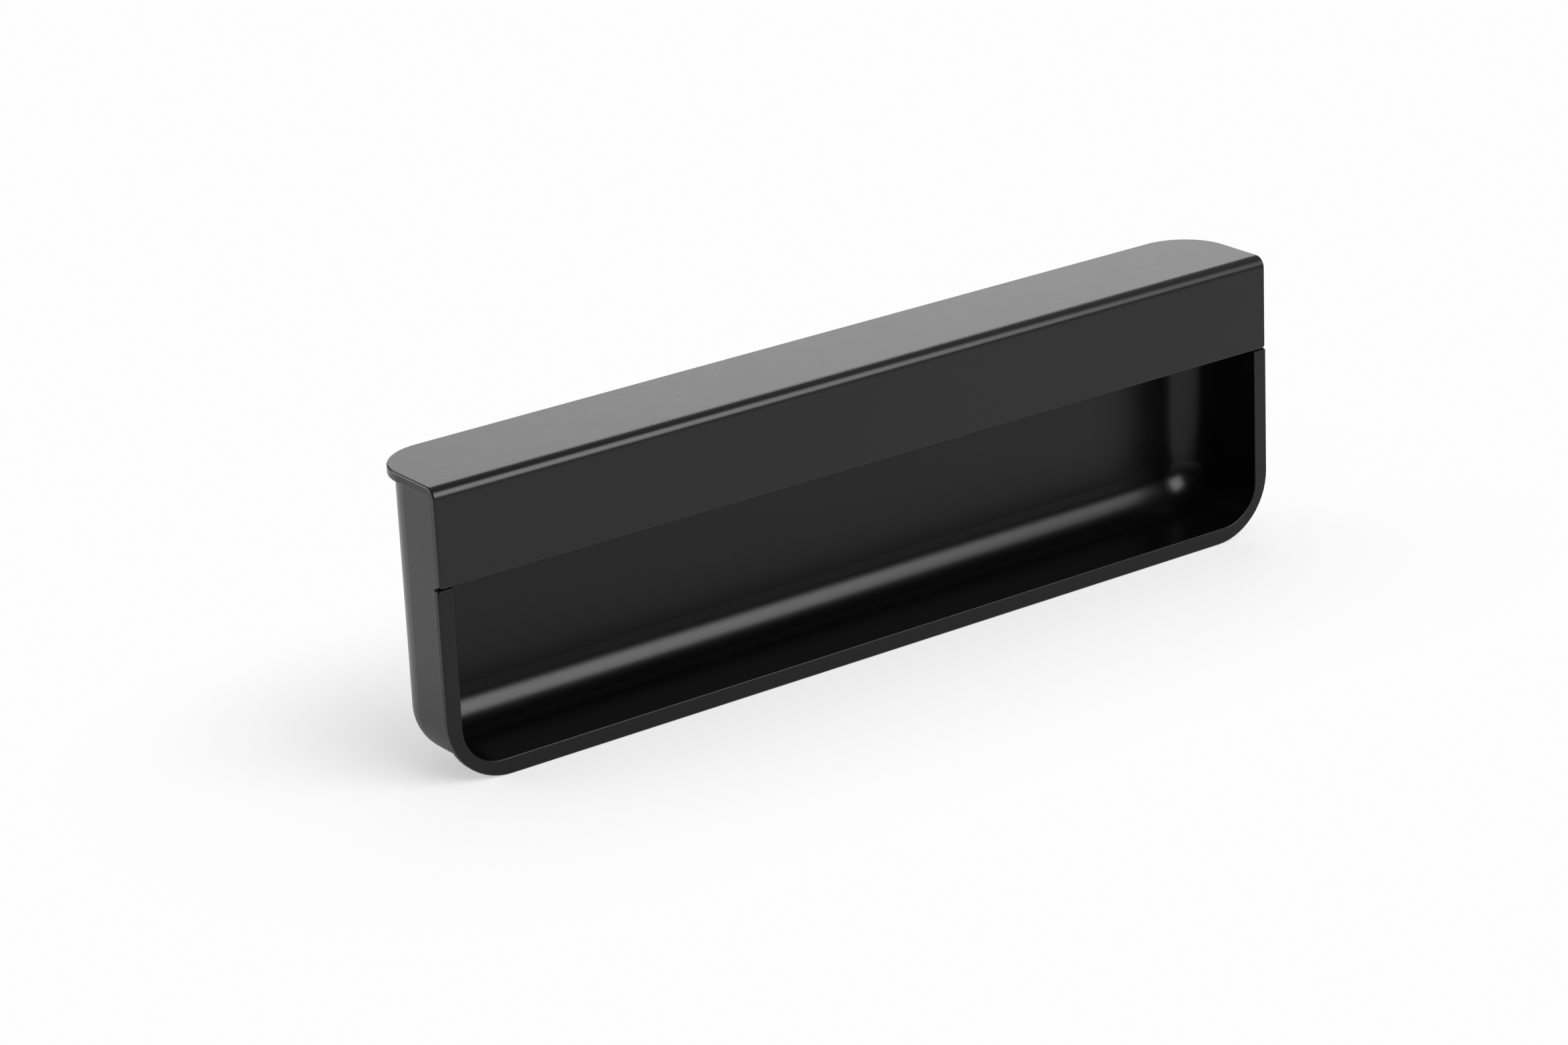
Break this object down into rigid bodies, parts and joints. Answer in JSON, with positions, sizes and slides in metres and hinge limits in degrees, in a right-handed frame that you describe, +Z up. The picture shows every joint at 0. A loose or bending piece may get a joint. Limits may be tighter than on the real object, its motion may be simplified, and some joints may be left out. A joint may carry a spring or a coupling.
{
  "type": "recessed pull handle",
  "caption": "Black recessed pull handle for a drawer or door edge: a cast cup with a rimmed finger recess under a folded cover plate with a grip lip.",
  "frame": {"origin": "centre of the bounding box in plan, level with the lower edge of the flange", "axes": "+X along the length of the handle, +Y from the grip lip to the rear, +Z up from the flange's lower edge to the cover plate"},
  "size_m": [0.1706, 0.0202, 0.0504],
  "materials": {
    "cup_coat": "matt black powder coat",
    "plate_coat": "matt black powder coat",
    "fastener_steel": "zinc plated"
  },
  "bodies": {
    "root": {"cup": "cup_coat", "cover_plate": "plate_coat", "stud_left": "fastener_steel", "stud_middle": "fastener_steel", "stud_right": "fastener_steel", "washer_left": "fastener_steel", "washer_middle": "fastener_steel", "washer_right": "fastener_steel", "nut_left": "fastener_steel", "nut_middle": "fastener_steel", "nut_right": "fastener_steel"}
  },
  "joints": []
}
